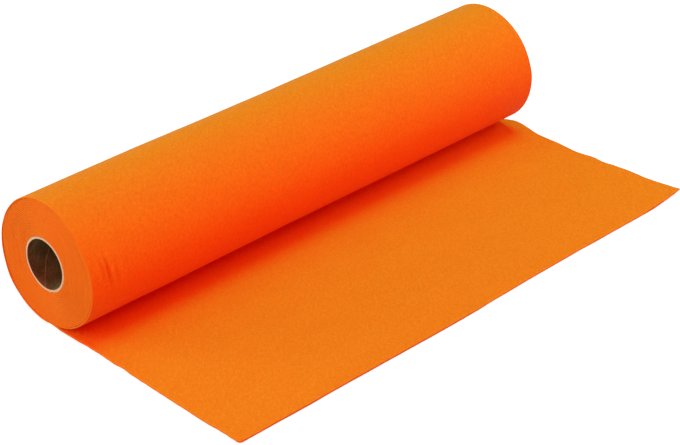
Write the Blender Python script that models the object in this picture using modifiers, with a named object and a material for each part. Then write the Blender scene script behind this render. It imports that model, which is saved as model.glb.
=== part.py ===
"""A part-used roll of craft felt, 450 mm wide, wound on a thin cardboard tube.

The felt is one sheet 5 m long. Its last turn comes over the back of the roll, passes under it and runs out flat
to the front, so the roll stands on its own sheet. The winding is one solid with the laid-out end.

Metres, +Z up. X runs along the roll and -Y is the way that the loose end runs out. The origin is on the
underside of the sheet, below the roll's axis, at half its width.
"""

from math import cos, pi, radians, sin, sqrt, tau

import bmesh
import bpy
import numpy as np

# The sheet
SHEET_WIDTH = 0.450
SHEET_THICKNESS = 0.0012
LOOSE_LENGTH = 0.1915

# The winding: its radius grows by one step a turn, and its weight leaves it a little oval and lopsided
ROLL_RADIUS = 0.0485
TURN_STEP = 0.00125
OVALNESS = 0.0004
LOPSIDED = 0.0005
LOPSIDED_AT = radians(-147)
FLAT_SPOT_SINK = 0.0004
ROLL_SIDES = 120

# The tube, which lies a little behind and below the roll's own centre
CORE_RADIUS = 0.0204
CORE_WALL = 0.0018
CORE_RIM = 0.0003
CORE_BEHIND = 0.0021
CORE_BELOW = 0.0013
CORE_SIDES = 72
CORE_CLEARANCE = 0.0003

# The loose end as it lies: hand-cut along the front, stretched along both side edges, its far corner lifted
WEDGE_MOUTH = 0.0005
LEFT_CORNER_RADIUS = 0.003
CORNER_LIFT = 0.0040
CORNER_LIFT_REACH = 0.042
STATIONS_ACROSS = (-0.18, -0.135, -0.09, -0.045, 0.0, 0.045, 0.09, 0.135, 0.17, 0.19, 0.203, 0.214)
STATIONS_ALONG = (
    *(-0.012, -0.020, -0.026, -0.033, -0.045, -0.056, -0.075, -0.096, -0.110, -0.118, -0.130),
    *(-0.145, -0.155, -0.164, -0.173, -0.182),
)
RIGHT_EDGE = np.array(
    # distance out from the roll's axis, how far the edge is pulled out past the roll's end
    [
        (0.000, 0.0010),
        (0.012, 0.0015),
        (0.020, 0.0065),
        (0.026, 0.0101),
        (0.033, 0.0101),
        (0.045, 0.0075),
        (0.056, 0.0057),
        (0.096, 0.0055),
        (0.110, 0.0084),
        (0.118, 0.0080),
        (0.130, 0.0097),
        (0.145, 0.0111),
        (0.190, 0.0113),
    ]
)
LEFT_EDGE = np.array(
    # distance out from the roll's axis, how far the edge is pulled out past the roll's end
    [
        (0.000, 0.0),
        (0.020, 0.0008),
        (0.045, 0.0002),
        (0.085, 0.0003),
        (0.115, 0.0015),
        (0.190, 0.0015),
    ]
)
FRONT_EDGE = np.array(
    # place across the sheet, how far the cut runs in front of its nominal line
    [
        (-0.225, -0.0013),
        (-0.160, -0.0001),
        (-0.090, 0.0006),
        (-0.030, 0.0013),
        (0.030, 0.0005),
        (0.090, -0.0004),
        (0.170, 0.0001),
        (0.225, -0.0004),
    ]
)

HALF_WIDTH = SHEET_WIDTH / 2


def winding_radius(angle):
    """Radius of the last turn at an angle from the bottom, going up the front: the step per turn, an oval and a lobe."""
    turn = angle / tau - 0.5
    lobe = LOPSIDED * np.cos(3 * angle - LOPSIDED_AT)
    return ROLL_RADIUS + TURN_STEP * turn - OVALNESS * np.cos(2 * angle) + lobe


# The turn's start rests on the sheet, pressed in by the flat spot
AXIS_HEIGHT = float(winding_radius(0.0)) + SHEET_THICKNESS - FLAT_SPOT_SINK


def plain_material(name, colour, roughness):
    """A matte, non-metallic Principled material with a linear RGB colour."""
    material = bpy.data.materials.new(name)
    material.diffuse_color = (*colour, 1.0)
    material.use_nodes = True
    shader = material.node_tree.nodes["Principled BSDF"]
    shader.inputs["Base Color"].default_value = (*colour, 1.0)
    shader.inputs["Roughness"].default_value = roughness
    shader.inputs["Metallic"].default_value = 0.0
    return material


def winding_outline():
    """Side view of the felt as (y, z) points: out along the floor, round the winding and back over the loose end."""
    angles = np.linspace(tau, 0.0, ROLL_SIDES + 1)
    radius = winding_radius(angles)
    y = -radius * np.sin(angles)
    z = AXIS_HEIGHT - radius * np.cos(angles)
    behind = angles > pi
    kept = np.where(behind, z > 0.0, z > SHEET_THICKNESS + WEDGE_MOUTH)
    flat_spot_end = sqrt(float(winding_radius(tau)) ** 2 - AXIS_HEIGHT**2)
    wedge_y = float(y[kept][-1])
    return [
        (-LOOSE_LENGTH, 0.0),
        (flat_spot_end, 0.0),
        *zip(y[kept], z[kept]),
        (wedge_y, SHEET_THICKNESS),
        (-LOOSE_LENGTH, SHEET_THICKNESS),
    ]


def bore_outline():
    """Side view of the hole in the winding, round the tube with its clearance."""
    radius = CORE_RADIUS + CORE_CLEARANCE
    angles = np.arange(CORE_SIDES) * tau / CORE_SIDES
    return [(CORE_BEHIND + radius * cos(a), AXIS_HEIGHT - CORE_BELOW + radius * sin(a)) for a in angles]


def extruded_across(name, outlines):
    """Mesh of (y, z) outlines as a filled 2D curve, the inner ones holes, extruded over the sheet's width."""
    curve = bpy.data.curves.new(name, "CURVE")
    curve.dimensions = "2D"
    curve.fill_mode = "BOTH"
    curve.extrude = HALF_WIDTH
    for outline in outlines:
        spline = curve.splines.new("POLY")
        spline.points.add(len(outline) - 1)
        for point, (y, z) in zip(spline.points, outline):
            point.co = (y, z, 0.0, 1.0)
        spline.use_cyclic_u = True
    helper = bpy.data.objects.new(name + "_outline", curve)
    mesh = bpy.data.meshes.new_from_object(helper)
    bpy.data.objects.remove(helper)
    bpy.data.curves.remove(curve)
    # The curve's own x, y and z become the world's y, z and x
    place = np.empty(len(mesh.vertices) * 3, np.float32)
    mesh.vertices.foreach_get("co", place)
    place = place.reshape(-1, 3)[:, [2, 0, 1]]
    mesh.vertices.foreach_set("co", place.ravel())
    return mesh


def cut_at_stations(shape):
    """Cuts the solid's faces across the sheet and along it, so that the laid-out end has points to bend at."""
    for x in STATIONS_ACROSS:
        parts = [*shape.verts, *shape.edges, *shape.faces]
        bmesh.ops.bisect_plane(shape, geom=parts, plane_co=(x, 0, 0), plane_no=(1, 0, 0))
    for y in STATIONS_ALONG:
        low = [f for f in shape.faces if max(v.co.z for v in f.verts) < SHEET_THICKNESS * 1.01]
        edge_faces = [f for f in shape.faces if abs(f.normal.x) > 0.9]
        parts = {*low, *edge_faces}
        parts |= {e for f in parts for e in f.edges} | {v for f in parts for v in f.verts}
        bmesh.ops.bisect_plane(shape, geom=list(parts), plane_co=(0, y, 0), plane_no=(0, 1, 0))


def round_left_corner(shape):
    """Rounds the corner of the cut on the left, as scissors leave it."""
    corner = [
        e
        for e in shape.edges
        if all(v.co.x < -HALF_WIDTH + 1e-6 and v.co.y < -LOOSE_LENGTH + 1e-6 for v in e.verts)
    ]
    bmesh.ops.bevel(
        shape, geom=corner, offset=LEFT_CORNER_RADIUS, offset_type="OFFSET", segments=4, profile=0.5, affect="EDGES"
    )


def lay_loose_end(shape):
    """Moves the laid-out end's points: the side edges out, the front edge to its cut, the far corner up."""
    for v in shape.verts:
        if v.co.z > SHEET_THICKNESS * 1.01 or v.co.y > 0:
            continue
        out = -v.co.y
        across = 0.5 + v.co.x / SHEET_WIDTH
        cut = np.interp(v.co.x, *FRONT_EDGE.T)
        v.co.x += float(np.interp(out, *RIGHT_EDGE.T)) * across**3
        v.co.x -= float(np.interp(out, *LEFT_EDGE.T)) * (1 - across) ** 3
        v.co.y -= float(cut) * (out / LOOSE_LENGTH) ** 4
        from_corner = sqrt((HALF_WIDTH + RIGHT_EDGE[-1, 1] - v.co.x) ** 2 + (LOOSE_LENGTH + v.co.y) ** 2)
        v.co.z += CORNER_LIFT * max(0.0, 1 - from_corner / CORNER_LIFT_REACH) ** 2


def build_felt():
    """The felt: winding, bore and laid-out end as one solid."""
    mesh = extruded_across("felt", [winding_outline(), bore_outline()])
    shape = bmesh.new()
    shape.from_mesh(mesh)
    bmesh.ops.remove_doubles(shape, verts=shape.verts, dist=1e-6)
    bmesh.ops.recalc_face_normals(shape, faces=shape.faces)
    cut_at_stations(shape)
    round_left_corner(shape)
    lay_loose_end(shape)
    bmesh.ops.triangulate(shape, faces=[f for f in shape.faces if len(f.verts) > 4])
    bmesh.ops.recalc_face_normals(shape, faces=shape.faces)
    shape.to_mesh(mesh)
    shape.free()
    mesh.shade_smooth()
    mesh.set_sharp_from_angle(angle=radians(30))
    mesh.materials.append(plain_material("felt_orange", (0.86, 0.18, 0.007), 1.0))
    return bpy.data.objects.new("felt", mesh)


def build_core():
    """The cardboard tube: its wall in section, turned about the roll's length."""
    inside = CORE_RADIUS - CORE_WALL
    wall = [(inside, -HALF_WIDTH), (inside, HALF_WIDTH), (CORE_RADIUS, HALF_WIDTH), (CORE_RADIUS, -HALF_WIDTH)]
    mesh = bpy.data.meshes.new("core")
    mesh.from_pydata([(radius, 0.0, x) for radius, x in wall], [(0, 1), (1, 2), (2, 3), (3, 0)], [])
    mesh.materials.append(plain_material("cardboard", (0.42, 0.27, 0.16), 0.9))
    core = bpy.data.objects.new("core", mesh)
    core.location = (0.0, CORE_BEHIND, AXIS_HEIGHT - CORE_BELOW)
    core.rotation_euler = (0.0, pi / 2, 0.0)
    turn = core.modifiers.new("turn", "SCREW")
    turn.axis = "Z"
    turn.angle = tau
    turn.steps = CORE_SIDES
    turn.render_steps = CORE_SIDES
    turn.use_merge_vertices = True
    turn.merge_threshold = 1e-5
    turn.use_smooth_shade = True
    rims = core.modifiers.new("worn_rims", "BEVEL")
    rims.width = CORE_RIM
    rims.segments = 2
    rims.limit_method = "ANGLE"
    rims.angle_limit = radians(30)
    rims.harden_normals = True
    return core


def main():
    for old in list(bpy.data.objects):
        bpy.data.objects.remove(old)
    roll = bpy.data.collections.new("felt_roll")
    bpy.context.scene.collection.children.link(roll)
    for piece in (build_felt(), build_core()):
        roll.objects.link(piece)


main()
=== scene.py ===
"""A roll of orange craft felt on a cardboard tube, with its outer end laid out flat in front of it.

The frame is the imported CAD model, in metres, with X along the roll, the loose end towards -Y and +Z up.
"""

import bpy
import numpy as np
from mathutils import Matrix, Vector


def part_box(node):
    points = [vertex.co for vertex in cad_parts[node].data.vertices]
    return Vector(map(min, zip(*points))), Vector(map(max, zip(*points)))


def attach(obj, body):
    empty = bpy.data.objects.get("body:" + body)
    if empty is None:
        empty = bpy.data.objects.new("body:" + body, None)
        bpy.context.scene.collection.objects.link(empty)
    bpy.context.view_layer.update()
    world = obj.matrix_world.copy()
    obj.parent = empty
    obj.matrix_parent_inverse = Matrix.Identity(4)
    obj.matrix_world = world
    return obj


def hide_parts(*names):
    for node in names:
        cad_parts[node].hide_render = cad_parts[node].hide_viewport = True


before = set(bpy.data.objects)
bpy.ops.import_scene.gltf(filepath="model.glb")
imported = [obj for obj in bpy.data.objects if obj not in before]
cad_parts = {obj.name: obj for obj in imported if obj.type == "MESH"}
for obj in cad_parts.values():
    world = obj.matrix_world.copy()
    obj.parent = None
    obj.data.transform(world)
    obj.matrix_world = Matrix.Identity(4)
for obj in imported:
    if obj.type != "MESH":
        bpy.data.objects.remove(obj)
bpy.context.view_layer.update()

# --- Camera ---------------------------------------------------------------------------------------
# A long lens on a tripod, above and to the left of the roll's near end. It looks down by about 30 degrees.

AIM = Vector((0.0168, -0.0417, 0.0))
VIEW_AZIMUTH = np.radians(-46.29)
VIEW_ELEVATION = np.radians(30.54)
VIEW_ROLL = np.radians(1.41)
VIEW_DISTANCE = 1.5851
LENS = 112.69

turned = (
    Matrix.Rotation(VIEW_AZIMUTH, 4, "Z")
    @ Matrix.Rotation(np.pi / 2 - VIEW_ELEVATION, 4, "X")
    @ Matrix.Rotation(VIEW_ROLL, 4, "Z")
)
camera_data = bpy.data.cameras.new("camera")
camera_data.lens = LENS
camera_data.sensor_width = 36.0
camera_data.clip_start = 0.05
camera_data.clip_end = 60.0
camera = bpy.data.objects.new("camera", camera_data)
camera.matrix_world = Matrix.Translation(AIM + turned.to_3x3() @ Vector((0, 0, VIEW_DISTANCE))) @ turned
bpy.context.scene.collection.objects.link(camera)
bpy.context.scene.camera = camera

# --- Floor and light ------------------------------------------------------------------------------
# A matt white table that glows a little, as a lit shooting table does. Cool soft boxes with little or no red
# stand overhead and behind, and warmer ones at the left and in front. Red light comes from all around and
# from low in front, so the shaded side of the roll stays bright red.

FLOOR_SIZE = 12.0
FLOOR_BELOW = 0.0002
FLOOR_WHITE = 0.3
FLOOR_GLOW = 0.25
FLOOR_SEEN = 0.9
LIGHT_CENTRE = Vector((0.0, -0.07, 0.03))
LIGHT_DISTANCE = 1.8
NEAR_DISTANCE = 0.6
WIDE = 1.0
SMALL = 0.3
COOL = (0.0, 1.0, 0.92)
COOL_AND_SOME_RED = (0.40, 1.0, 0.92)
WARM = (1.0, 0.0, 0.0)
AMBIENT = (1.0, 0.0, 0.0, 1.0)
AMBIENT_STRENGTH = 0.66


def floor_material():
    """Matt white with a glow of its own, which lights the roll less than it whitens the table."""
    material = bpy.data.materials.new("white_table")
    material.use_nodes = True
    tree = material.node_tree
    shader = tree.nodes["Principled BSDF"]
    shader.inputs["Base Color"].default_value = (FLOOR_WHITE, FLOOR_WHITE, FLOOR_WHITE, 1.0)
    shader.inputs["Roughness"].default_value = 1.0
    shader.inputs["Specular IOR Level"].default_value = 0.0
    shader.inputs["Emission Color"].default_value = (1.0, 1.0, 1.0, 1.0)
    seen = tree.nodes.new("ShaderNodeLightPath").outputs["Is Camera Ray"]
    strength = tree.nodes.new("ShaderNodeMapRange")
    strength.inputs["To Min"].default_value = FLOOR_GLOW
    strength.inputs["To Max"].default_value = FLOOR_SEEN
    tree.links.new(seen, strength.inputs["Value"])
    tree.links.new(strength.outputs["Result"], shader.inputs["Emission Strength"])
    return material


half = FLOOR_SIZE / 2
floor_mesh = bpy.data.meshes.new("floor")
floor_corners = [(-half, -half, 0), (half, -half, 0), (half, half, 0), (-half, half, 0)]
floor_mesh.from_pydata(floor_corners, [], [(0, 1, 2, 3)])
floor_mesh.materials.append(floor_material())
floor = bpy.data.objects.new("floor", floor_mesh)
floor.location.z = -FLOOR_BELOW
bpy.context.scene.collection.objects.link(floor)


def soft_box(name, azimuth, elevation, power, colour, width=WIDE, distance=LIGHT_DISTANCE):
    """A round area light of so many watts, turned towards the roll.

    Azimuth 0 is in front of the roll and 90 beyond its right end. Elevation counts up from the floor.
    """
    around, up = np.radians(azimuth), np.radians(elevation)
    towards = Vector((np.sin(around) * np.cos(up), -np.cos(around) * np.cos(up), np.sin(up)))
    data = bpy.data.lights.new(name, "AREA")
    data.shape = "DISK"
    data.size = width
    data.energy = power
    data.color = colour
    light = bpy.data.objects.new(name, data)
    turn = (-towards).to_track_quat("-Z", "Y").to_matrix().to_4x4()
    light.matrix_world = Matrix.Translation(LIGHT_CENTRE + towards * distance) @ turn
    light.visible_camera = False
    bpy.context.scene.collection.objects.link(light)


soft_box("above_right", 90, 75, 25.5, COOL)
soft_box("behind_high", 180, 68, 4.6, COOL, SMALL)
soft_box("behind_small", 180, 60, 2.2, COOL, SMALL)
soft_box("behind_middle", 180, 50, 3.0, COOL, SMALL)
soft_box("behind_low", 180, 38, 2.7, COOL, SMALL)
soft_box("behind_left_low", 225, 12, 20.0, COOL_AND_SOME_RED)
soft_box("left_low", 270, 12, 3.8, (1.0, 0.76, 0.69))
soft_box("left_high", 285, 45, 3.6, (1.0, 0.75, 0.65))
soft_box("front", 0, 60, 3.4, (1.0, 0.56, 0.51))
soft_box("front_low", 0, 14, 7.2, WARM)
soft_box("front_right_low", 45, 25, 2.9, WARM)
soft_box("right_near", 72, 22, 0.55, (0.25, 1.0, 0.92), SMALL, NEAR_DISTANCE)

world = bpy.data.worlds.new("studio")
world.use_nodes = True
nodes, links = world.node_tree.nodes, world.node_tree.links
ambient = nodes["Background"]
ambient.inputs["Color"].default_value = AMBIENT
ambient.inputs["Strength"].default_value = AMBIENT_STRENGTH
backdrop = nodes.new("ShaderNodeBackground")
backdrop.inputs["Color"].default_value = (1.0, 1.0, 1.0, 1.0)
path = nodes.new("ShaderNodeLightPath")
seen = nodes.new("ShaderNodeMixShader")
links.new(path.outputs["Is Camera Ray"], seen.inputs["Fac"])
links.new(ambient.outputs["Background"], seen.inputs[1])
links.new(backdrop.outputs["Background"], seen.inputs[2])
links.new(seen.outputs["Shader"], nodes["World Output"].inputs["Surface"])
bpy.context.scene.world = world
bpy.context.scene.view_settings.view_transform = "Standard"
bpy.context.scene.view_settings.look = "None"

# --- Core -----------------------------------------------------------------------------------------
# A tube of brown paper strips wound in a steep spiral and glued, with the joint of its inmost strip showing
# inside. It was sawn square at both ends, which bares the pale plies. The felt is wound on it.

low, high = (np.array(corner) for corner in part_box("core"))
CORE_AXIS = (low[1] + high[1]) / 2, (low[2] + high[2]) / 2
CORE_RADIUS = (high[2] - low[2]) / 2
CORE_WALL = 0.0018
CORE_BORE = CORE_RADIUS - CORE_WALL
CORE_RIM = 0.0003
ROLL_END = high[0]
PLY = 0.0004
SEAM_LEAD = 0.082
SEAM_START = 0.255
SEAM_GAP = 0.0005
SEAM_DEPTH = 0.00018
PAPER_UNEVEN = 0.00008
SAWN_UNEVEN = 0.00012
SAWN_INSET = 0.0001
CORE_SIDES = 96
TAU = 2 * np.pi
NOISE_CELLS = 97

PAPER_DARK = (0.12, 0.090, 0.036)
PAPER_PALE = (0.30, 0.250, 0.110)
PAPER_JOINT = (0.42, 0.30, 0.16)
PAPER_BUMP = 0.00012
PLY_DARK = (0.80, 0.43, 0.25)
PLY_PALE = (0.97, 0.71, 0.46)
GLUE = (0.50, 0.26, 0.11)
GLUE_LINE = 0.00007
TORN = 0.00025
SAWN_BUMP = 0.00010


def new_mesh(name, points, faces):
    """Mesh object from an (n, 3) array of points and a list of face arrays, one for each corner count."""
    mesh = bpy.data.meshes.new(name)
    sizes = np.concatenate([np.full(len(f), f.shape[1]) for f in faces])
    corners = np.concatenate([f.ravel() for f in faces])
    starts = np.concatenate([[0], np.cumsum(sizes)[:-1]])
    mesh.vertices.add(len(points))
    mesh.vertices.foreach_set("co", points.astype(np.float32).ravel())
    mesh.loops.add(len(corners))
    mesh.loops.foreach_set("vertex_index", corners.astype(np.int32))
    mesh.polygons.add(len(sizes))
    mesh.polygons.foreach_set("loop_start", starts.astype(np.int32))
    mesh.update(calc_edges=True)
    mesh.validate()
    mesh.shade_smooth()
    piece = bpy.data.objects.new(name, mesh)
    bpy.context.scene.collection.objects.link(piece)
    return piece


def grid_faces(rows, columns, closed_rows=False, closed_columns=False, first=0):
    """Quads between neighbours of a rows x columns grid, whose last row or column may join the first."""
    r = np.arange(rows if closed_rows else rows - 1)[:, None]
    c = np.arange(columns if closed_columns else columns - 1)[None, :]
    r2, c2 = (r + 1) % rows, (c + 1) % columns
    quads = np.stack([r * columns + c, r * columns + c2, r2 * columns + c2, r2 * columns + c], -1)
    return quads.reshape(-1, 4) + first


def store_uv(piece, name, table, faces, period):
    """UV map from a (u, v) for each point. Faces that cross the seam in u run on past the period there."""
    corners = []
    for f in faces:
        uv = table[f].astype(np.float32)
        behind = uv[..., 0].max(1, keepdims=True) - uv[..., 0] > period / 2
        uv[..., 0] += period * behind
        corners.append(uv.reshape(-1, 2))
    piece.data.uv_layers.new(name=name).data.foreach_set("uv", np.concatenate(corners).ravel())


def soft_step(t):
    """Eased step from 0 to 1: 3t^2 - 2t^3 with t held between 0 and 1."""
    t = np.clip(t, 0, 1)
    return t * t * (3 - 2 * t)


def bell(t):
    """A smooth hump: 1 at t = 0, about a third at 1 and nothing past 2.5."""
    return np.exp(-t * t)


def soft_noise(u, v, seed):
    """Smooth noise from -1 to 1: a random value at each whole u and v, eased between them.

    It repeats after NOISE_CELLS.
    """
    table = np.random.default_rng(seed).uniform(-1, 1, (NOISE_CELLS, NOISE_CELLS))
    i, j = np.floor(u).astype(int), np.floor(v).astype(int)
    f, g = soft_step(u - i), soft_step(v - j)
    i0, i1, j0, j1 = (k % NOISE_CELLS for k in (i, i + 1, j, j + 1))
    near = table[i0, j0] * (1 - g) + table[i0, j1] * g
    far = table[i1, j0] * (1 - g) + table[i1, j1] * g
    return near * (1 - f) + far * f


def node(tree, kind, inputs=None, **settings):
    """A node with its settings. An input, by name or number, is linked to a socket or set to a value."""
    made = tree.nodes.new("ShaderNode" + kind)
    for name, value in settings.items():
        setattr(made, name, value)
    for name, value in (inputs or {}).items():
        if isinstance(value, bpy.types.NodeSocket):
            tree.links.new(value, made.inputs[name])
        else:
            made.inputs[name].default_value = value
    return made


def new_material(name, roughness, specular=0.0, sheen=0.0):
    """A dull material, glossy only if asked. Returns it, its tree and its shader."""
    material = bpy.data.materials.new(name)
    material.use_nodes = True
    shader = material.node_tree.nodes["Principled BSDF"]
    shader.inputs["Roughness"].default_value = roughness
    shader.inputs["Specular IOR Level"].default_value = specular
    shader.inputs["Sheen Weight"].default_value = sheen
    shader.inputs["Sheen Roughness"].default_value = 0.35
    return material, material.node_tree, shader


def sized(tree, vector, size, turn=0.0):
    """The vector turned by an angle about Z and divided by size, so that a pattern's grain is that size."""
    mapping = node(tree, "Mapping", {"Vector": vector}, vector_type="TEXTURE")
    mapping.inputs["Rotation"].default_value = (0.0, 0.0, turn)
    mapping.inputs["Scale"].default_value = size
    return mapping.outputs["Vector"]


def noise(tree, vector, size, turn=0.0, detail=2.0, distortion=0.0, dimensions="2D"):
    """Noise from 0 to 1 whose grain has the given size in metres."""
    made = node(tree, "TexNoise", {"Vector": sized(tree, vector, size, turn)}, noise_dimensions=dimensions)
    made.inputs["Scale"].default_value = 1.0
    made.inputs["Detail"].default_value = detail
    made.inputs["Distortion"].default_value = distortion
    return made.outputs["Fac"]


def calculate(tree, operation, a, b=0.0, c=0.0):
    """One step of arithmetic."""
    return node(tree, "Math", {0: a, 1: b, 2: c}, operation=operation).outputs["Value"]


def remap(tree, value, low, high, to_low=0.0, to_high=1.0):
    """The value from low..high, eased to to_low..to_high and held there."""
    made = node(tree, "MapRange", {"Value": value}, interpolation_type="SMOOTHSTEP")
    made.inputs["From Min"].default_value = low
    made.inputs["From Max"].default_value = high
    made.inputs["To Min"].default_value = to_low
    made.inputs["To Max"].default_value = to_high
    return made.outputs["Result"]


def blend_colours(tree, factor, first, second):
    """From the first colour to the second as the factor goes from 0 to 1. Each is a socket or a triple."""
    made = node(tree, "Mix", {"Factor": factor}, data_type="RGBA")
    for socket, colour in ((made.inputs[6], first), (made.inputs[7], second)):
        if isinstance(colour, bpy.types.NodeSocket):
            tree.links.new(colour, socket)
        else:
            socket.default_value = (*colour, 1.0)
    return made.outputs[2]


def finish(tree, shader, colour, height, depth):
    """Give the shader its colour and a bump of so many metres."""
    bump = node(tree, "Bump", {"Height": height, "Distance": depth, "Strength": 1.0})
    tree.links.new(colour, shader.inputs["Base Color"])
    tree.links.new(bump.outputs["Normal"], shader.inputs["Normal"])


def core_points():
    """Grid of the tube: its profile once round the wall, by an angle that follows the spiral of the strips.

    Along the bore and back along the outside, the angle turns once for each SEAM_LEAD. The strip's joint is
    at angle 0, a shallow groove between two paper edges that stand up a little. The bore is a little uneven.
    """
    along = np.linspace(-ROLL_END + CORE_RIM, ROLL_END - CORE_RIM, 71)
    rounding = CORE_RIM * (1 - np.cos(np.linspace(0, np.pi / 2, 4)))[:-1]
    easing = CORE_RIM * (1 - np.sin(np.linspace(0, np.pi / 2, 4)))[:-1]
    plies = np.arange(CORE_BORE + PLY, CORE_RADIUS - PLY / 2, PLY)
    end_face = np.stack([np.full(len(plies), ROLL_END), plies], -1)
    inner_corner = np.stack([ROLL_END - easing, CORE_BORE + rounding], -1)
    outer_corner = np.stack([ROLL_END - easing, CORE_RADIUS - rounding], -1)
    right = np.concatenate([inner_corner, end_face, outer_corner[::-1]])
    inside = np.stack([along, np.full(len(along), CORE_BORE)], -1)
    outside = np.stack([along[::-1], np.full(len(along), CORE_RADIUS)], -1)
    left = right[::-1] * (-1, 1)
    profile = np.concatenate([inside, right, outside, left])

    x, radius = profile[:, 0, None], profile[:, 1, None]
    seam = SEAM_GAP / CORE_BORE
    fine = seam * np.array([-6, -3, -1.5, -1.0, -0.5, 0.0, 0.5, 1.0, 1.5, 3, 6])
    angle = np.concatenate([fine, np.linspace(fine[-1], TAU + fine[0], CORE_SIDES)[1:-1]])[None, :]
    spiral = angle + TAU * (SEAM_START - x / SEAM_LEAD)
    from_seam = (np.mod(angle + np.pi, TAU) - np.pi) / seam
    joint = SEAM_DEPTH * (bell(from_seam / 0.7) - 0.5 * bell((np.abs(from_seam) - 1.5) / 0.8))
    inner_wall = soft_step((CORE_BORE + PLY - radius) / PLY)
    uneven = PAPER_UNEVEN * soft_noise(30 + x / 0.02, spiral * 3, 11)
    at_end = np.abs(x) > ROLL_END - CORE_RIM / 2
    sawn = SAWN_UNEVEN * soft_noise(40 + radius / PLY, spiral * 14, 12) * at_end
    radius = radius + (joint + uneven) * inner_wall
    x = x + sawn - SAWN_INSET * np.sign(x) * at_end
    y = CORE_AXIS[0] - radius * np.sin(spiral)
    z = CORE_AXIS[1] - radius * np.cos(spiral)
    steps = np.diff(profile, axis=0, prepend=profile[:1])
    along_profile = np.cumsum(np.hypot(*steps.T))[:, None]
    uv = np.stack(np.broadcast_arrays(angle / TAU, along_profile), -1)
    sawn_rows = np.abs(profile[:, 0]) > ROLL_END - CORE_RIM * 0.99
    return np.stack(np.broadcast_arrays(x, y, z), -1), uv, sawn_rows


def paper_material():
    """Brown kraft paper: fibres, faint flecks and stains, and a paler torn edge at the strip's joint."""
    material, tree, shader = new_material("kraft_paper", 0.85)
    strip = node(tree, "UVMap", uv_map="strip").outputs["UV"]
    place = node(tree, "TexCoord").outputs["Object"]
    across = node(tree, "SeparateXYZ", {"Vector": strip}).outputs["X"]
    fibres = noise(tree, strip, (0.006, 0.0045, 1.0), 0.2, 3.0, 0.4)
    flecks = noise(tree, place, (0.0012, 0.0012, 0.0012), 0.0, 4.0, 0.0, "3D")
    stains = noise(tree, place, (0.012, 0.012, 0.012), 0.0, 2.0, 0.0, "3D")
    tone = calculate(tree, "MULTIPLY_ADD", fibres, 0.5, calculate(tree, "MULTIPLY", flecks, 0.5))
    tone = calculate(tree, "MULTIPLY_ADD", stains, 0.6, calculate(tree, "SUBTRACT", tone, 0.3))
    brown = blend_colours(tree, remap(tree, tone, 0.25, 0.8), PAPER_DARK, PAPER_PALE)
    from_joint = calculate(tree, "PINGPONG", across, 0.5)
    joint = remap(tree, from_joint, 0.003, 0.012, 1.0, 0.0)
    ragged = calculate(tree, "MULTIPLY", joint, remap(tree, flecks, 0.3, 0.6, 0.3, 0.9))
    colour = blend_colours(tree, ragged, brown, PAPER_JOINT)
    finish(tree, shader, colour, calculate(tree, "ADD", fibres, flecks), PAPER_BUMP)
    return material


def sawn_material():
    """The sawn end of the tube: pale plies inside each other, with darker glue lines and torn fibres."""
    material, tree, shader = new_material("sawn_paper", 0.95)
    place = node(tree, "TexCoord").outputs["Object"]
    centred = node(tree, "Mapping", {"Vector": place}, vector_type="TEXTURE")
    centred.inputs["Location"].default_value = (0.0, *CORE_AXIS)
    parts = node(tree, "SeparateXYZ", {"Vector": centred.outputs["Vector"]}).outputs
    across = node(tree, "CombineXYZ", {"X": parts["Y"], "Y": parts["Z"]})
    radius = node(tree, "VectorMath", {0: across.outputs["Vector"]}, operation="LENGTH").outputs["Value"]
    torn = noise(tree, place, (0.0008, 0.0008, 0.0008), 0.0, 4.0, 0.0, "3D")
    wandering = calculate(tree, "MULTIPLY_ADD", torn, TORN, radius)
    ply = calculate(tree, "PINGPONG", wandering, PLY / 2)
    glue = remap(tree, ply, 0.0, GLUE_LINE, 1.0, 0.0)
    paper = blend_colours(tree, torn, PLY_DARK, PLY_PALE)
    colour = blend_colours(tree, calculate(tree, "MULTIPLY", glue, 0.35), paper, GLUE)
    finish(tree, shader, colour, calculate(tree, "SUBTRACT", torn, glue), SAWN_BUMP)
    return material


points, strip_uv, sawn_rows = core_points()
rows, columns = points.shape[:2]
faces = [grid_faces(rows, columns, closed_rows=True, closed_columns=True)]
tube = new_mesh("paper_tube", points.reshape(-1, 3), faces)
store_uv(tube, "strip", strip_uv.reshape(-1, 2), faces, 1.0)
tube.data.materials.append(paper_material())
tube.data.materials.append(sawn_material())
face_rows = np.repeat(np.arange(rows), columns)
sawn = sawn_rows[face_rows] & sawn_rows[(face_rows + 1) % rows]
tube.data.polygons.foreach_set("material_index", sawn.astype(np.int32))
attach(tube, "root")
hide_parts("core")

# --- Felt -----------------------------------------------------------------------------------------
# One sheet of needle-punched polyester felt, 450 mm by 5 m. It is wound on the tube from its inner end. The
# last turn comes over the back, passes under the roll and runs out flat to its hand-cut edge in front.

SHEET = 0.0012
PRESSED_GAP = 0.00002
TUBE_GAP = 0.0001
TURN_STEP = 0.00125
LOOSE_LENGTH = 0.1915
ROLL_RADIUS = 0.0485
OVALNESS = 0.0004
LOPSIDED = 0.0005
LOPSIDED_AT = np.radians(-147)
FLAT_SPOT_SINK = 0.0004
HALF_WIDTH = ROLL_END


def turn_shape(turn):
    """How far a turn stands out from a circle: cos 2a of an oval, as the roll sags, and cos 3a of lobes."""
    angle = turn * TAU
    return LOPSIDED * np.cos(3 * angle - LOPSIDED_AT) - OVALNESS * np.cos(2 * angle)


MIDDLE_OF_LAST_TURN = 0.5
AXIS_HEIGHT = ROLL_RADIUS - MIDDLE_OF_LAST_TURN * TURN_STEP + turn_shape(0.0) + SHEET - FLAT_SPOT_SINK
FIRST_RADIUS = CORE_RADIUS + TUBE_GAP + SHEET
TURNS = (ROLL_RADIUS - FIRST_RADIUS) / TURN_STEP + MIDDLE_OF_LAST_TURN
CORE_SHIFT = CORE_AXIS - np.array([0.0, AXIS_HEIGHT])
CLIMB_START = 0.93


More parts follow.
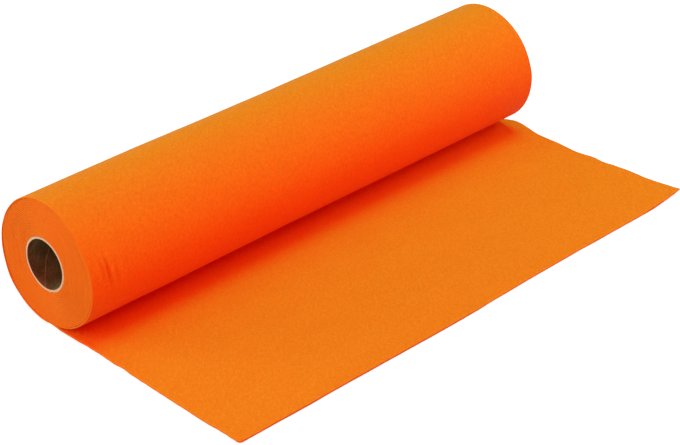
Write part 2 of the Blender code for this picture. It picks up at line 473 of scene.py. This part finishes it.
def wound_line(turn):
    """(y, z) of the felt's outer face after so many turns, counted up to 0 where it reaches the floor.

    The radius grows by one step a turn about the roll's axis. Towards the tube the uneven outline goes over
    to a circle about the tube's own axis, and the growth of a turn is drawn together to where it climbs over
    the felt's inner end. At the bottom the turns lie flat on each other and on the floor.
    """
    inward = np.clip(-turn / TURNS, 0, 1)
    part_turn = (turn + TURNS) % 1.0
    climb = soft_step((part_turn - CLIMB_START) / (1 - CLIMB_START)) - part_turn
    radius = ROLL_RADIUS + TURN_STEP * (turn + MIDDLE_OF_LAST_TURN + climb * inward**6)
    radius = radius + turn_shape(turn) * (1 - inward)
    y = inward * CORE_SHIFT[0] - radius * np.sin(turn * TAU)
    z = AXIS_HEIGHT + inward * CORE_SHIFT[1] - radius * np.cos(turn * TAU)
    turns_below = np.round(-turn)
    return y, np.maximum(z, turns_below * (SHEET + PRESSED_GAP))


SWELL = np.array(
    # place along the roll, how far the wound turns stand out there
    [
        (-0.225, -0.0004),
        (-0.160, 0.0),
        (-0.070, -0.0005),
        (-0.010, -0.0009),
        (0.080, -0.0003),
        (0.225, -0.0001),
    ]
)
CREASE_SLANT = 0.03
CREASES = np.array(
    # place along the roll, turn at its middle, half its length as a part of a turn, depth, half its width
    [
        (-0.2107, -0.722, 0.032, 0.00155, 0.0011),
        (-0.2040, -0.732, 0.027, 0.00080, 0.0012),
        (-0.2160, -0.716, 0.034, 0.00040, 0.0014),
        (-0.1960, -0.712, 0.040, 0.00030, 0.0020),
    ]
)
RIGHT_EDGE = np.array(
    # distance out from the roll's axis, how far the edge is pulled out past the roll's end
    [
        (0.000, 0.0010),
        (0.012, 0.0015),
        (0.020, 0.0065),
        (0.026, 0.0101),
        (0.033, 0.0101),
        (0.045, 0.0075),
        (0.056, 0.0057),
        (0.096, 0.0055),
        (0.110, 0.0084),
        (0.118, 0.0080),
        (0.130, 0.0097),
        (0.145, 0.0111),
        (0.190, 0.0113),
    ]
)
LEFT_EDGE = np.array(
    # distance out from the roll's axis, how far the edge is pulled out past the roll's end
    [
        (0.000, 0.0),
        (0.020, 0.0008),
        (0.045, 0.0002),
        (0.085, 0.0003),
        (0.115, 0.0015),
        (0.190, 0.0015),
    ]
)
FRONT_EDGE = np.array(
    # place across the sheet, how far the cut runs behind its nominal line
    [
        (-0.225, -0.0002),
        (-0.160, -0.0008),
        (-0.090, -0.0015),
        (-0.030, -0.0021),
        (0.030, -0.0005),
        (0.090, 0.0004),
        (0.170, -0.0003),
        (0.225, 0.0),
    ]
)
CORNER_LIFT = 0.0040
CORNER_LIFT_REACH = 0.042
LEFT_CORNER_RADIUS = 0.003
CUT_SOFTNESS = 0.0004
CUT_INSET = 0.00006
SLANTED_CUT = 0.0008


def eased_table(value, table, reach):
    """Mean of five readings of a table, spread by reach to both sides of the value, to round its corners."""
    return sum(np.interp(value + reach * k, *table.T) for k in (-1, -0.5, 0, 0.5, 1)) / 5


LUMP = 0.00016
NEAR_LEFT = -0.10
FLAT_BACK = 0.0004
FLAT_BACK_TURN, FLAT_BACK_REACH = 0.64, 0.07
LOW_BACK = 0.0010
LOW_BACK_TURN, LOW_BACK_REACH = 0.88, 0.055
PATCH = 0.00045
PATCH_PLACE, PATCH_HALF_WIDTH = -0.208, 0.014
PATCH_TURN, PATCH_HALF_LENGTH = -0.71, 0.07
FADE_ABOVE_FLOOR = 0.012


def off_the_roll(turn, x, last):
    """How far a point of the wound felt stands out from its plain turn.

    All turns swell along the roll. At the left end their back is a little flatter high up, and the outer ones
    hang a little low further down. The last turn alone has slack: shallow lumps, and a fuller patch near the
    left end with creases pressed into it.
    """
    outside = 1 - np.clip(-turn / TURNS, 0, 1)
    swell = eased_table(x, SWELL, 0.04) * outside
    part_turn = np.mod(turn, 1.0)
    near_left = soft_step((NEAR_LEFT - x) / 0.12)
    flatter_back = -FLAT_BACK * near_left * outside * bell((part_turn - FLAT_BACK_TURN) / FLAT_BACK_REACH)
    lump = LUMP * (1 + soft_noise(40 + x / 0.03, 9 + turn * 11.0, 3))
    low_back = LOW_BACK * near_left * bell((part_turn - LOW_BACK_TURN) / LOW_BACK_REACH) * outside**6
    patch = bell((x - PATCH_PLACE) / PATCH_HALF_WIDTH) * bell((turn - PATCH_TURN) / PATCH_HALF_LENGTH)
    crease = 0.0
    for place, middle, half_length, depth, half_width in CREASES:
        aside = (x - place + CREASE_SLANT * (turn - middle)) / half_width
        pressed = 0.45 * (bell(aside - 2) + bell(aside + 2)) - bell(aside)
        crease = crease + depth * pressed * bell((turn - middle) / half_length)
    return swell + flatter_back + low_back + last * (lump + PATCH * patch + crease)


EDGE_DRIFT = 0.00035
EDGE_WANDER = 0.00010
LAST_EDGE_OUT = 0.00030
LAST_EDGE_WANDER = 0.00022
SHEARS_WANDER = 0.00038


def ragged_edge(turn, out, side, last):
    """How far the felt's side edge stands out sideways. The turns drift together, each a little apart.

    The last turn stands out further, and the laid-out end is as uneven as shears leave it.
    """
    angle = turn * TAU
    drift = EDGE_DRIFT * soft_noise(
        30 + 1.6 * np.cos(angle) + turn * 0.2, 50 + 20 * side + 1.6 * np.sin(angle), 21
    )
    own = EDGE_WANDER * soft_noise(turn * 9, 40 + turn * 1.7 + 9 * side, 22)
    outer = (LAST_EDGE_OUT + LAST_EDGE_WANDER * soft_noise(turn * 26, 12 + 5 * side, 25)) * last
    shears = soft_noise(out / 0.011, 30 + 5 * side, 23) + 0.6 * soft_noise(out / 0.004, 60 + 5 * side, 24)
    return drift * (out == 0) + own + outer * (turn < 0) + SHEARS_WANDER * shears * soft_step(out / 0.02)


SNIPS = 0.00018
WAVE = 0.00016
FRONT_RISE = 0.00035


def sheet_points(turn, out, x, depth, last):
    """Points of the sheet for a row (turn up to 0, then out on the floor), a place x across and a depth.

    Depth runs from 0 on the face that is outermost on the roll to 1 on the inner one, which lies a hair away
    from the turn below. The laid-out end starts flat and level. Then the felt's unevenness moves the points:
    all of it on the last turn and the laid-out end, where last is 1, and part of it on the turns inside.
    """
    outer_y, outer_z = wound_line(turn)
    inner_y, inner_z = wound_line(turn - 1)
    inner_y = inner_y - PRESSED_GAP * np.sin(turn * TAU)
    inner_z = inner_z - PRESSED_GAP * np.cos(turn * TAU)
    y = outer_y * (1 - depth) + inner_y * depth - out
    z = outer_z * (1 - depth) + inner_z * depth
    across = 0.5 + x / (2 * HALF_WIDTH)

    # Wound turns, which lose their unevenness where they press on the floor
    above_floor = np.clip((z - SHEET) / FADE_ABOVE_FLOOR, 0, 1)
    outward = np.where((out == 0) & (turn < 0), off_the_roll(turn, x, last) * above_floor, 0.0)
    y = y - np.sin(turn * TAU) * outward
    z = z - np.cos(turn * TAU) * outward
    side = np.sign(x)
    at_edge = soft_step((np.abs(x) / HALF_WIDTH - 0.975) / 0.025)
    ragged = ragged_edge(turn, out, side, last) * at_edge * side

    # The laid-out end: edges as pulled and cut, the far corner lifted and faint waves all over
    share = out / LOOSE_LENGTH
    pulled = eased_table(out, RIGHT_EDGE, 0.003) * across**3
    pulled = pulled - eased_table(out, LEFT_EDGE, 0.006) * (1 - across) ** 3
    pulled = pulled * soft_step(out / 0.008)
    to_left = np.clip(LEFT_CORNER_RADIUS - (x + HALF_WIDTH), 0, LEFT_CORNER_RADIUS)
    corner = LEFT_CORNER_RADIUS - np.sqrt(LEFT_CORNER_RADIUS**2 - to_left**2)
    snips = SNIPS * soft_noise(50 + x / 0.016, 3 + 0 * out, 26)
    slant = SLANTED_CUT * soft_step((0.06 - x) / 0.16) * depth
    cut = (eased_table(x, FRONT_EDGE, 0.02) + snips + corner) * share**4 + slant * share**40
    wave = WAVE * (1 + soft_noise(20 + x / 0.045, out / 0.04, 5)) * soft_step((out - 0.02) / 0.03)
    wave = wave + FRONT_RISE * soft_step((-0.02 - x) / 0.1) * soft_step((out - 0.15) / 0.04)
    x = x + pulled + ragged
    y = y + cut
    to_corner = np.hypot(HALF_WIDTH + RIGHT_EDGE[-1, 1] - x, LOOSE_LENGTH + y)
    lift = CORNER_LIFT * np.clip(1 - to_corner / CORNER_LIFT_REACH, 0, 1) ** 2
    z = z + np.where(out > 0, wave + lift, 0.0)
    return np.stack(np.broadcast_arrays(x, y, z), -1)


def crosswise(upper, lower):
    """(x, depth, way round) once round the sheet's section: out on the outer face, back on the inner one.

    At both side edges three more points round the cut over, within CUT_SOFTNESS.
    """
    upper, lower = np.array(upper), np.array(lower)
    inset = np.array([CUT_INSET, 0.0, CUT_INSET])
    across_edge = np.array([0.14, 0.5, 0.86])
    x = np.concatenate([upper, HALF_WIDTH - inset, lower[::-1], inset - HALF_WIDTH])
    depth = np.concatenate([0 * upper, across_edge, 0 * lower + 1, across_edge[::-1]])
    right = HALF_WIDTH + SHEET * across_edge
    left = 3 * HALF_WIDTH + SHEET + SHEET * across_edge
    way = np.concatenate([upper, right, 2 * HALF_WIDTH + SHEET - lower[::-1], left])
    return x, depth, way


WAY_ROUND = 4 * HALF_WIDTH + 2 * SHEET
ROWS_A_TURN = 56
LAST_TURN_START = -1.02
LAST_TURN_ROWS = 164
LAST_TURN_EASE = 0.07
LAID_OUT_ROWS = 90
BEFORE_CUT = 0.0015
CUT_ROWS = np.array([0.0008, 0.0003, 0.0])
CUT_THINNING = 0.4
EDGE = HALF_WIDTH - CUT_SOFTNESS
coarse = np.array([-EDGE, -0.2235, -0.216, -0.160, -0.070, 0.0, 0.080, 0.210, 0.2235, EDGE])
under = np.sort([*coarse, -0.190, -0.130, -0.100, -0.035, 0.040, 0.115, 0.150, 0.180])
columns_between = (3, 12, 32, 20, 36, 26, 30, 47, 8, 3)
places = np.sort([*coarse, -0.200])
stretches = [np.linspace(a, b, n + 1)[:-1] for a, b, n in zip(places, places[1:], columns_between)]
fine = np.concatenate([*stretches, coarse[-1:]])
inner_turns = np.arange(-TURNS, LAST_TURN_START, 1 / ROWS_A_TURN)
last_turn = np.linspace(LAST_TURN_START, 0.0, LAST_TURN_ROWS + 1)[:-1]
even_rows = np.linspace(0.0, LOOSE_LENGTH - BEFORE_CUT, LAID_OUT_ROWS)
laid_out = np.concatenate([even_rows, LOOSE_LENGTH - CUT_ROWS])


def sheet_rows(turn, out, upper, lower):
    """Rows of points (rows, round the section, 3). The last three of the laid-out end round its cut over."""
    x, depth, _ = crosswise(upper, lower)
    turn, out = turn[:, None], out[:, None]
    last = soft_step((turn + 1) / LAST_TURN_EASE)
    thin = soft_step((out - LOOSE_LENGTH + CUT_ROWS[0]) / CUT_ROWS[0])
    depth = 0.5 + (depth[None, :] - 0.5) * (1 - CUT_THINNING * thin)
    return sheet_points(turn, out, x[None, :] + 0 * turn, depth, last)


def cap(row_start, upper, lower):
    """Faces that close an end of the sheet, one for each stretch of the lower face, and one at both edges."""
    last = upper.size + lower.size + 5
    lower_index = upper.size + 2 + lower.size - np.arange(lower.size)
    nearest = np.abs(upper[None, :] - lower[:, None]).argmin(1)
    faces = []
    for k in range(lower.size - 1):
        above = np.arange(nearest[k], nearest[k + 1] + 1)
        faces.append(np.array([[*above, lower_index[k + 1], lower_index[k]]])[:, ::-1] + row_start)
    right = np.arange(upper.size - 1, upper.size + 4)[::-1][None, :] + row_start
    left = np.array([0, *range(last, last - 4, -1)])[None, :] + row_start
    return [*faces, right, left]


def joining_faces():
    """One face for each coarse column, between the last coarse row and the first fine one."""
    x_a, depth_a, _ = crosswise(coarse, coarse)
    x_b, depth_b, _ = crosswise(fine, under)
    partner = [int(np.argmin(np.abs(x_b - x) + np.abs(depth_b - d))) for x, d in zip(x_a, depth_a)]
    start = (rows_a - 1) * around_a
    faces = []
    for k in range(around_a):
        after = (k + 1) % around_a
        span = (partner[after] - partner[k]) % around_b
        fine_side = [first_b + (partner[k] + i) % around_b for i in range(span + 1)]
        faces.append(np.array([[start + k, start + after, *fine_side[::-1]]]))
    return faces


wound = sheet_rows(inner_turns, 0 * inner_turns, coarse, coarse)
shown_turn = np.concatenate([last_turn, 0 * laid_out])
shown_out = np.concatenate([0 * last_turn, laid_out])
shown = sheet_rows(shown_turn, shown_out, fine, under)
rows_a, around_a = wound.shape[:2]
rows_b, around_b = shown.shape[:2]
first_b = rows_a * around_a
points = np.concatenate([wound.reshape(-1, 3), shown.reshape(-1, 3)])
faces = [
    grid_faces(rows_a, around_a, closed_columns=True),
    grid_faces(rows_b, around_b, closed_columns=True, first=first_b),
    *joining_faces(),
    *cap(0, coarse, coarse),
    *[face[:, ::-1] for face in cap(first_b + (rows_b - 1) * around_b, fine, under)],
]
felt = new_mesh("felt_sheet", points, faces)


# Near a cut the felt is painted paler: partly the fluff's own colour, partly painted sheen where the edges
# catch light.
FLUFF_AND_SHEEN_BAND = 0.0009
FELT_DEEP = (0.87, 0.150, 0.0050)
FELT_BRIGHT = (0.95, 0.226, 0.0100)
FELT_CUT_FLUFF_AND_SHEEN = (0.93, 0.205, 0.012)
FELT_BUMP = 0.00024


def cloth_table():
    """(way round the section, way along the cloth) for each point, and its nearness to a cut, 0 to 1."""
    turn, out = np.concatenate([inner_turns, shown_turn]), np.concatenate([0 * inner_turns, shown_out])
    y, z = wound_line(turn)
    along = np.concatenate([[0], np.cumsum(np.hypot(np.diff(y - out), np.diff(z)))])
    tables, cuts = [], []
    for rows, (x, depth, way) in (
        (along[:rows_a], crosswise(coarse, coarse)),
        (along[rows_a:], crosswise(fine, under)),
    ):
        tables.append(np.stack(np.meshgrid(way, rows), -1).reshape(-1, 2))
        from_side = HALF_WIDTH - CUT_SOFTNESS - np.abs(x)[None, :]
        from_end = np.minimum(along[-1] - rows, rows)[:, None] - CUT_SOFTNESS
        nearest = np.minimum(np.maximum(from_side, 0), np.maximum(from_end, 0))
        cuts.append(np.clip(1 - nearest / FLUFF_AND_SHEEN_BAND, 0, 1).ravel())
    return np.concatenate(tables), np.concatenate(cuts)


def felt_material():
    """Needled felt: matted fibres lying three ways, tufts, fine grain, and paler cut edges: partly their
    fluff, partly painted sheen.
    """
    material, tree, shader = new_material("orange_felt", 0.5, specular=0.015, sheen=0.04)
    cloth = node(tree, "UVMap", uv_map="cloth").outputs["UV"]
    strands = 0.0
    for turn, length in ((0.44, 0.0050), (1.48, 0.0042), (2.53, 0.0036)):
        wander = noise(tree, cloth, (length, 0.0006, 1.0), turn, 1.0, 0.6)
        aside = calculate(tree, "ABSOLUTE", calculate(tree, "SUBTRACT", wander, 0.5))
        strand = remap(tree, aside, 0.0, 0.045, 1.0, 0.0)
        strands = calculate(tree, "ADD", strand, strands)
    grain = noise(tree, cloth, (0.0010, 0.0010, 1.0), 0.3, 1.0)
    tufts = noise(tree, cloth, (0.0030, 0.0021, 1.0), 0.9, 1.5, 0.5)
    clouds = noise(tree, cloth, (0.028, 0.016, 1.0), 0.1, 3.0)
    tone = calculate(tree, "MULTIPLY_ADD", strands, 0.18, calculate(tree, "MULTIPLY", grain, 0.55))
    tone = calculate(tree, "MULTIPLY_ADD", tufts, 0.55, tone)
    tone = calculate(tree, "MULTIPLY_ADD", clouds, 0.15, tone)
    colour = blend_colours(tree, remap(tree, tone, 0.42, 1.18), FELT_DEEP, FELT_BRIGHT)
    # Paler near the cuts: partly the fluff's own colour, partly painted sheen that the cut edges catch.
    cut = node(tree, "Attribute", attribute_name="cut").outputs["Fac"]
    colour = blend_colours(tree, calculate(tree, "MULTIPLY", cut, 0.5), colour, FELT_CUT_FLUFF_AND_SHEEN)
    height = calculate(tree, "MULTIPLY_ADD", grain, 0.6, calculate(tree, "MULTIPLY", strands, 0.10))
    height = calculate(tree, "MULTIPLY_ADD", tufts, 1.3, height)
    finish(tree, shader, colour, height, FELT_BUMP)
    return material


cloth_uv, near_cut = cloth_table()
store_uv(felt, "cloth", cloth_uv, faces, WAY_ROUND)
felt.data.attributes.new("cut", "FLOAT", "POINT").data.foreach_set("value", near_cut.astype(np.float32))
felt.data.materials.append(felt_material())
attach(felt, "root")
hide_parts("felt")
